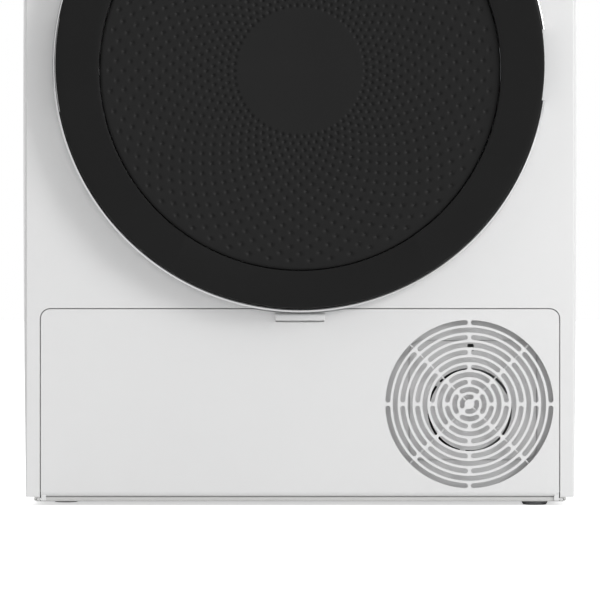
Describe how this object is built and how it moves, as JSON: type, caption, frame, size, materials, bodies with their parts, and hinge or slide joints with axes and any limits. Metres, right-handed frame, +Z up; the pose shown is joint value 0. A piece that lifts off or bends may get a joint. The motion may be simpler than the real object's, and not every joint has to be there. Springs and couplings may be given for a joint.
{
  "type": "clothes dryer",
  "caption": "Front-loading heat-pump clothes dryer: round door, tumbling drum on a belt drive, heat pump in the base, fold-down service flap with a round air grille, pull-out water tank.",
  "frame": {"origin": "on the floor, under the middle of the machine's box", "axes": "+Z up; the front with its door faces -Y; +X is to the right seen from the front"},
  "size_m": [0.5968, 0.64, 0.845],
  "materials": {
    "white_paint": "satin white enamel",
    "white_plastic": "satin white moulded plastic",
    "black_gloss": "black, semi-gloss",
    "dark_plastic": "dark grey, satin",
    "grey_plastic": "light grey, matt",
    "chrome": "bright plated",
    "steel": "stainless steel",
    "zinc": "zinc coated steel",
    "aluminium": "plain fins",
    "copper": "copper pipe",
    "rubber": "matt black",
    "black_paint": "satin black enamel",
    "smoked_glass": "smoked lens",
    "clear_lens": "frosted lens",
    "board_green": "circuit board"
  },
  "bodies": {
    "cabinet": {"base_tray": "grey_plastic", "front_panel": "white_paint", "left_side_panel": "white_paint", "right_side_panel": "white_paint", "rear_panel": "zinc", "rear_duct_cover": "grey_plastic", "top_panel": "white_plastic", "control_fascia": "white_plastic", "display_window": "smoked_glass", "control_board": "board_green", "tank_housing": "grey_plastic", "loading_mouth": "grey_plastic", "drum_lamp": "clear_lens", "door_lock": "dark_plastic", "door_hinge_base": "zinc", "roller_axle_left": "steel", "roller_axle_right": "steel", "rear_bearing": "steel", "drive_belt": "rubber", "motor": "zinc", "fan_housing": "grey_plastic", "evaporator": "aluminium", "condenser": "aluminium", "compressor": "black_paint", "refrigerant_pipe": "copper", "condensate_pump": "dark_plastic", "fan_shroud": "white_plastic", "power_inlet": "dark_plastic", "drain_spigot": "grey_plastic"},
    "door": {"door_ring": "black_gloss", "door_trim": "chrome", "door_dish": "dark_plastic", "door_inner_shell": "grey_plastic", "door_seal": "rubber", "door_catch": "steel", "door_hinge_arm": "zinc"},
    "drum": {"drum_shell": "steel", "drum_rear_wall": "steel", "drum_lifter_1": "grey_plastic", "drum_lifter_2": "grey_plastic", "drum_lifter_3": "grey_plastic"},
    "roller_left": {"support_roller_left": "rubber"},
    "roller_right": {"support_roller_right": "rubber"},
    "motor_rotor": {"motor_shaft_pulley": "steel", "process_fan": "dark_plastic"},
    "idler_lever": {"idler_arm": "zinc"},
    "idler_wheel": {"idler_pulley": "dark_plastic"},
    "fan_rotor": {"cooling_fan": "dark_plastic"},
    "flap": {"service_flap": "white_plastic"},
    "latch": {"flap_latch": "white_plastic"},
    "tank": {"water_tank": "grey_plastic", "tank_handle": "white_plastic"},
    "filter": {"lint_filter": "dark_plastic"},
    "knob": {"program_knob": "chrome"},
    "power_key": {"power_button": "chrome"},
    "start_key": {"start_button": "chrome"},
    "adjuster_front_right": {"foot_front_right": "rubber"},
    "adjuster_front_left": {"foot_front_left": "rubber"},
    "adjuster_rear_right": {"foot_rear_right": "rubber"},
    "adjuster_rear_left": {"foot_rear_left": "rubber"}
  },
  "joints": [
    {"name": "door_hinge", "type": "hinge", "parent": "cabinet", "child": "door", "pos_m": [0.254, -0.303, 0.474], "axis": [0, 0, 1], "range_deg": [0, 150]},
    {"name": "drum_spin", "type": "hinge", "parent": "cabinet", "child": "drum", "pos_m": [0, 0, 0.5], "axis": [0, 1, 0], "continuous": true},
    {"name": "roller_left_spin", "type": "hinge", "parent": "cabinet", "child": "roller_left", "pos_m": [-0.18304, -0.194, 0.26572], "axis": [0, 1, 0], "continuous": true},
    {"name": "roller_right_spin", "type": "hinge", "parent": "cabinet", "child": "roller_right", "pos_m": [0.18304, -0.194, 0.26572], "axis": [0, 1, 0], "continuous": true},
    {"name": "motor_spin", "type": "hinge", "parent": "cabinet", "child": "motor_rotor", "pos_m": [0.175, 0.15, 0.15], "axis": [0, 1, 0], "continuous": true},
    {"name": "idler_swing", "type": "hinge", "parent": "cabinet", "child": "idler_lever", "pos_m": [0.1, 0.102, 0.15], "axis": [0, -1, 0], "range_deg": [0, 10], "stiffness_Nm_per_rad": 2, "springref_deg": -11.46},
    {"name": "idler_spin", "type": "hinge", "parent": "idler_lever", "child": "idler_wheel", "pos_m": [0.02443, 0.094, 0.18528], "axis": [0, 1, 0], "continuous": true},
    {"name": "cooling_fan_spin", "type": "hinge", "parent": "cabinet", "child": "fan_rotor", "pos_m": [0.1836, -0.242, 0.1024], "axis": [0, 1, 0], "continuous": true},
    {"name": "flap_hinge", "type": "hinge", "parent": "cabinet", "child": "flap", "pos_m": [0, -0.2826, 0.007], "axis": [1, 0, 0], "range_deg": [0, 90]},
    {"name": "flap_latch_slide", "type": "slide", "parent": "flap", "child": "latch", "axis": [0, 0, -1], "range_m": [0, 0.002], "stiffness_N_per_m": 500, "springref_m": -0.002},
    {"name": "tank_slide", "type": "slide", "parent": "cabinet", "child": "tank", "axis": [0, -1, 0], "range_m": [0, 0.45]},
    {"name": "lint_filter_slide", "type": "slide", "parent": "cabinet", "child": "filter", "axis": [0, 0, 1], "range_m": [0, 0.11]},
    {"name": "program_knob_turn", "type": "hinge", "parent": "cabinet", "child": "knob", "pos_m": [0, -0.284, 0.78], "axis": [0, -1, 0], "continuous": true},
    {"name": "power_button_press", "type": "slide", "parent": "cabinet", "child": "power_key", "axis": [0, 1, 0], "range_m": [0, 0.003], "stiffness_N_per_m": 400, "springref_m": -0.001},
    {"name": "start_button_press", "type": "slide", "parent": "cabinet", "child": "start_key", "axis": [0, 1, 0], "range_m": [0, 0.003], "stiffness_N_per_m": 400, "springref_m": -0.001},
    {"name": "foot_front_right_screw", "type": "slide", "parent": "cabinet", "child": "adjuster_front_right", "axis": [0, 0, -1], "range_m": [0, 0.015]},
    {"name": "foot_front_left_screw", "type": "slide", "parent": "cabinet", "child": "adjuster_front_left", "axis": [0, 0, -1], "range_m": [0, 0.015]},
    {"name": "foot_rear_right_screw", "type": "slide", "parent": "cabinet", "child": "adjuster_rear_right", "axis": [0, 0, -1], "range_m": [0, 0.015]},
    {"name": "foot_rear_left_screw", "type": "slide", "parent": "cabinet", "child": "adjuster_rear_left", "axis": [0, 0, -1], "range_m": [0, 0.015]}
  ],
  "couplings": [
    {"joint": "roller_left_spin", "follows": "drum_spin", "ratio": -7.4857},
    {"joint": "roller_right_spin", "follows": "drum_spin", "ratio": -7.4857},
    {"joint": "motor_spin", "follows": "drum_spin", "ratio": 17.467},
    {"joint": "idler_spin", "follows": "drum_spin", "ratio": -21.833}
  ]
}
